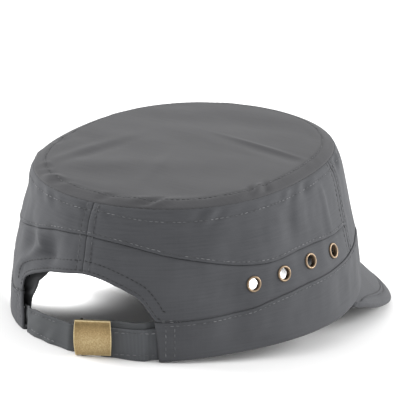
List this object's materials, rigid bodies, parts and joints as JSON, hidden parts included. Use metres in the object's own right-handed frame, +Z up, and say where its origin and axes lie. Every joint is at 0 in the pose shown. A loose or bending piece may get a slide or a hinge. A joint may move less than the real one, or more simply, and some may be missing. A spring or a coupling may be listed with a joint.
{
  "type": "patrol cap",
  "caption": "Flat-topped cloth cap with a drooping peak, wave-seamed side panels with metal eyelets, and a buckled strap across an arched rear opening.",
  "frame": {"origin": "on the surface that the cap lies on, below the middle of its box", "axes": "+Y towards the peak, +Z up from the surface, +X to the wearer's right"},
  "size_m": [0.1736, 0.253, 0.0934],
  "materials": {
    "cloth": "thin grey quick-dry cloth, plain weave, matt",
    "top_cloth": "the same grey cloth, lighter where it faces up",
    "strap_cloth": "folded grey cloth strap, topstitched",
    "sweatband_cloth": "dark inner band cloth",
    "antique_brass": "antique brass, mottled and rubbed",
    "eyelet_metal": "antique brass, darkened"
  },
  "bodies": {
    "root": {"top_panel": "top_cloth", "front_panel": "cloth", "side_upper_right": "cloth", "side_upper_left": "cloth", "side_lower_right": "cloth", "side_lower_left": "cloth", "band": "cloth", "peak": "cloth", "sweatband": "sweatband_cloth", "strap_long": "strap_cloth", "strap_short": "strap_cloth", "buckle_plate": "antique_brass", "buckle_pin": "antique_brass", "eyelet_right_1": "eyelet_metal", "eyelet_right_2": "eyelet_metal", "eyelet_right_3": "eyelet_metal", "eyelet_right_4": "eyelet_metal", "eyelet_left_1": "eyelet_metal", "eyelet_left_2": "eyelet_metal", "eyelet_left_3": "eyelet_metal", "eyelet_left_4": "eyelet_metal"}
  },
  "joints": []
}
